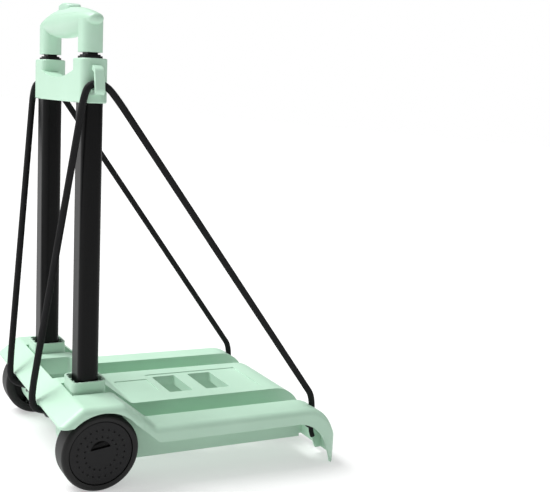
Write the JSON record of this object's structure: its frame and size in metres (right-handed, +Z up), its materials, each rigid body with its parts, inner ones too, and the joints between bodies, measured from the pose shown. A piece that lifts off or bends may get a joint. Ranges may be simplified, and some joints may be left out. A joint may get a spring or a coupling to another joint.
{
  "type": "folding luggage trolley",
  "caption": "Folding luggage trolley: hollow load deck on wheels with a telescoping mast that folds flat into the deck, and elastic cords to hold the load.",
  "frame": {"origin": "on the floor, under the middle of the trolley's footprint", "axes": "+X to the right of a person who stands behind the mast and looks over the deck, +Y forwards over the deck, +Z up; unfolded with the handle pushed in"},
  "size_m": [0.278, 0.3241, 0.471],
  "materials": {
    "mint_plastic": "fine satin moulding",
    "mint_button_plastic": "satin",
    "black_tube_paint": "satin powder coat",
    "black_glide_plastic": "satin",
    "black_tyre_rubber": "smooth matte tread",
    "black_wheel_plastic": "satin with dimples",
    "black_cord_fabric": "braided sheath",
    "zinc_steel": "zinc plated",
    "binding_wire": "black oxide wire",
    "white_inner_plastic": "natural moulding"
  },
  "bodies": {
    "base": {"base_plate": "mint_plastic", "axle": "zinc_steel", "axle_washers": "zinc_steel", "axle_push_nuts": "zinc_steel", "cord_left": "black_cord_fabric", "cord_right": "black_cord_fabric", "cord_knot_left": "black_cord_fabric", "cord_knot_right": "black_cord_fabric", "hook_binding_left": "binding_wire", "hook_binding_right": "binding_wire", "wire_hook_left": "binding_wire", "wire_hook_right": "binding_wire"},
    "mast": {"socket_left": "mint_plastic", "socket_right": "mint_plastic", "socket_pins": "zinc_steel", "outer_tube_left": "black_tube_paint", "outer_tube_right": "black_tube_paint", "bracket": "mint_plastic", "outer_collar_left": "black_glide_plastic", "outer_collar_right": "black_glide_plastic"},
    "middle_stage": {"middle_tube_left": "black_tube_paint", "middle_tube_right": "black_tube_paint", "middle_glide_left": "black_glide_plastic", "middle_glide_right": "black_glide_plastic", "middle_collar_left": "black_glide_plastic", "middle_collar_right": "black_glide_plastic"},
    "handle": {"inner_tube_left": "black_tube_paint", "inner_tube_right": "black_tube_paint", "inner_glide_left": "black_glide_plastic", "inner_glide_right": "black_glide_plastic", "handle_grip": "mint_plastic", "handle_cap": "mint_plastic", "handle_screws": "zinc_steel", "button_spring": "zinc_steel"},
    "release": {"release_button": "mint_button_plastic", "release_yoke": "white_inner_plastic", "push_rod_left": "zinc_steel", "push_rod_right": "zinc_steel"},
    "wheel_left": {"tyre_left": "black_tyre_rubber", "wheel_hub_left": "black_wheel_plastic", "hub_cap_left": "black_wheel_plastic"},
    "wheel_right": {"tyre_right": "black_tyre_rubber", "wheel_hub_right": "black_wheel_plastic", "hub_cap_right": "black_wheel_plastic"}
  },
  "joints": [
    {"name": "mast_fold", "type": "hinge", "parent": "base", "child": "mast", "pos_m": [0, -0.115, 0.038], "axis": [-1, 0, 0], "range_deg": [0, 91.9]},
    {"name": "middle_slide", "type": "slide", "parent": "mast", "child": "middle_stage", "axis": [0, -0.061, 0.9981], "range_m": [0, 0.22]},
    {"name": "handle_slide", "type": "slide", "parent": "middle_stage", "child": "handle", "axis": [0, -0.061, 0.9981], "range_m": [0, 0.22]},
    {"name": "button_press", "type": "slide", "parent": "handle", "child": "release", "axis": [0, 0.061, -0.9981], "range_m": [0, 0.0035], "stiffness_N_per_m": 1200, "springref_m": -0.002, "deforming": ["button_spring"]},
    {"name": "wheel_left_spin", "type": "hinge", "parent": "base", "child": "wheel_left", "pos_m": [0, -0.115, 0.038], "axis": [1, 0, 0], "continuous": true},
    {"name": "wheel_right_spin", "type": "hinge", "parent": "base", "child": "wheel_right", "pos_m": [0, -0.115, 0.038], "axis": [1, 0, 0], "continuous": true}
  ]
}
